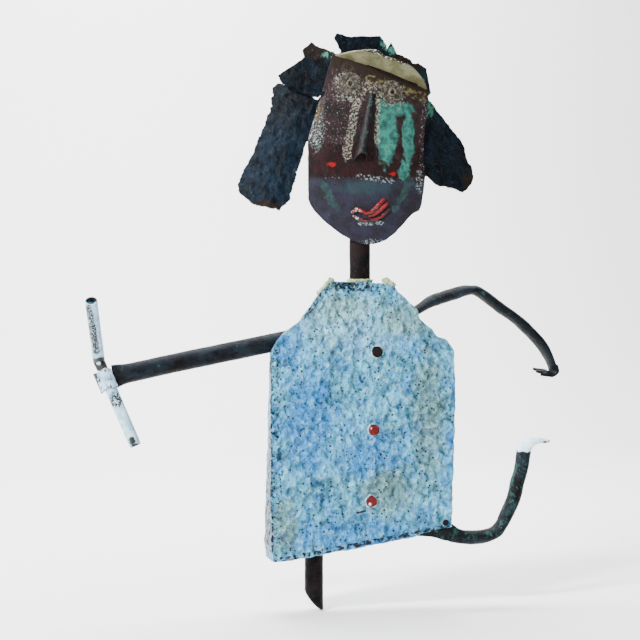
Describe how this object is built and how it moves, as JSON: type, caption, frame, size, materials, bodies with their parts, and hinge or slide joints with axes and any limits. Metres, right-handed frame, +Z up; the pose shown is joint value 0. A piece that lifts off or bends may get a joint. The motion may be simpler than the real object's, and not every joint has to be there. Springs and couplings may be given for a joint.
{
  "type": "scarecrow figure",
  "caption": "Striding scarecrow figure in a dress, brazed from copper tube and sheet, with a mask face, sheet hair, a stick in hand and a socket in the standing leg.",
  "frame": {"origin": "on the axis of the standing leg, where the full round wall of its open lower end begins", "axes": "+Z up along the standing leg, -Y the way the figure faces, +X to the right of a viewer in front of it"},
  "size_m": [0.5814, 0.1122, 0.6904],
  "materials": {
    "dress_enamel": "thick pale blue brushed enamel over hammered copper sheet, pitted and worn",
    "face_paint": "worn maroon, mauve and turquoise paint on copper sheet",
    "hair_patina": "dark blue-green paint and patina on rough-cut copper sheet",
    "dark_patina": "dark brown oxide with verdigris on copper",
    "cream_paint": "cream paint, worn at the edges",
    "white_paint": "white paint flaking from dark copper",
    "lip_red": "glossy red paint with black lines",
    "button_red": "red paint, chipped",
    "weld_cream": "lumpy weld painted cream-yellow",
    "bare_braze": "dull brazing metal"
  },
  "bodies": {
    "root": {"button_bottom": "button_red", "button_middle": "button_red", "button_top": "dark_patina", "collar_weld_left": "weld_cream", "collar_weld_right": "weld_cream", "dress_back": "dress_enamel", "dress_front": "dress_enamel", "eye_pad_left": "face_paint", "eye_pad_right": "face_paint", "eye_ring_left": "cream_paint", "eye_ring_right": "cream_paint", "face_plate": "face_paint", "hair_braze_left": "bare_braze", "hair_braze_right": "bare_braze", "hair_braze_top": "bare_braze", "hair_left_long": "hair_patina", "hair_left_small": "hair_patina", "hair_left_upper": "hair_patina", "hair_right_band": "hair_patina", "hair_right_lobe": "hair_patina", "hair_top_spike": "hair_patina", "hair_top_tall": "hair_patina", "hem_rivet": "dark_patina", "kicking_leg_tube": "dark_patina", "left_arm_inner_braze": "bare_braze", "left_arm_tube": "dark_patina", "lower_lip": "lip_red", "neck_braze_ring": "weld_cream", "neck_face_braze": "bare_braze", "neck_inner_braze": "bare_braze", "neck_tube": "dark_patina", "nose_channel": "face_paint", "right_arm_inner_braze": "bare_braze", "right_arm_tube": "dark_patina", "standing_leg_inner_braze": "bare_braze", "standing_leg_tube": "dark_patina", "stick_tube": "white_paint", "upper_lip": "lip_red", "visor_plate": "cream_paint", "visor_weld": "dark_patina"}
  },
  "joints": []
}
